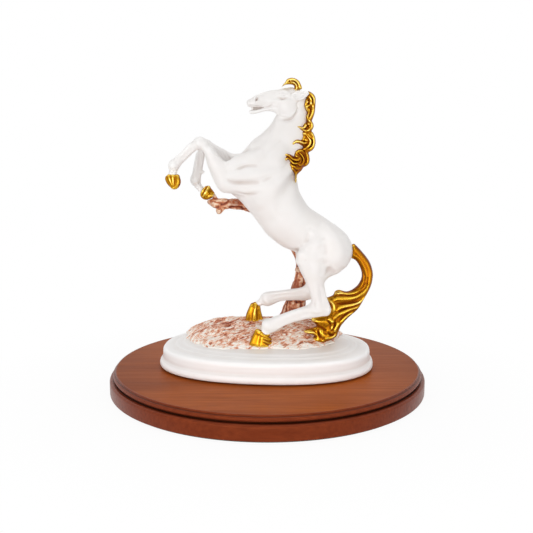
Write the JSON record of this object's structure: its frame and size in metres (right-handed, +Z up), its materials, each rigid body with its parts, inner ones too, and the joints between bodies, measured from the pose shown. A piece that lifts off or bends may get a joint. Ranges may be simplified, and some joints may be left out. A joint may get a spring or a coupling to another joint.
{
  "type": "horse statue on a round plinth",
  "caption": "Rearing horse figure with gilt mane, tail and hooves, held by a moulded tree stump on a stepped oval base, screwed to a round turned wooden plinth.",
  "frame": {"origin": "centre of the plinth's underside, on the surface the statue stands on", "axes": "+Z up, the horse faces -X, and its near (left) side faces -Y"},
  "size_m": [0.3, 0.3, 0.2927],
  "materials": {
    "white_enamel": "gloss white enamel with a faint warm wash, on cold-cast resin",
    "gilding": "bright gold lacquer with dark umber left in the grooves, on cold-cast resin",
    "rock_paint": "rust wash rubbed into a white rocky surface, on cold-cast resin",
    "bark_paint": "rust and salmon wash over carved bark, on cold-cast resin",
    "mahogany": "red-brown stain under satin lacquer",
    "felt": "glued felt",
    "steel": "plain steel"
  },
  "bodies": {
    "root": {"felt_underlay": "felt", "plinth_lower_board": "mahogany", "plinth_top_board": "mahogany", "base_casting": "white_enamel", "torso_casting": "white_enamel", "neck_casting": "white_enamel", "head_casting": "white_enamel", "near_ear": "white_enamel", "far_ear": "white_enamel", "near_foreleg": "white_enamel", "far_foreleg": "white_enamel", "near_hind_leg": "white_enamel", "far_hind_leg": "white_enamel", "rock_ground": "rock_paint", "hoof_prop": "rock_paint", "tree_trunk": "bark_paint", "tree_branch": "bark_paint", "near_fore_hoof": "gilding", "far_fore_hoof": "gilding", "near_hind_hoof": "gilding", "far_hind_hoof": "gilding", "forelock": "gilding", "mane_poll_locks": "gilding", "mane_upper_locks": "gilding", "mane_middle_locks": "gilding", "mane_lower_locks": "gilding", "mane_withers_locks": "gilding", "tail_casting": "gilding", "plinth_screw_1": "steel", "plinth_screw_2": "steel", "plinth_screw_3": "steel", "plinth_screw_4": "steel", "figure_screw_1": "steel", "figure_screw_2": "steel", "figure_washer_1": "steel", "figure_washer_2": "steel", "neck_pin": "steel", "head_pin": "steel", "near_foreleg_pin": "steel", "far_foreleg_pin": "steel", "near_hind_pin": "steel", "far_hind_pin": "steel", "tail_pin": "steel", "trunk_pin": "steel", "near_fore_hoof_pin": "steel", "far_fore_hoof_pin": "steel", "near_hind_hoof_pin": "steel", "far_hind_hoof_pin": "steel"}
  },
  "joints": []
}
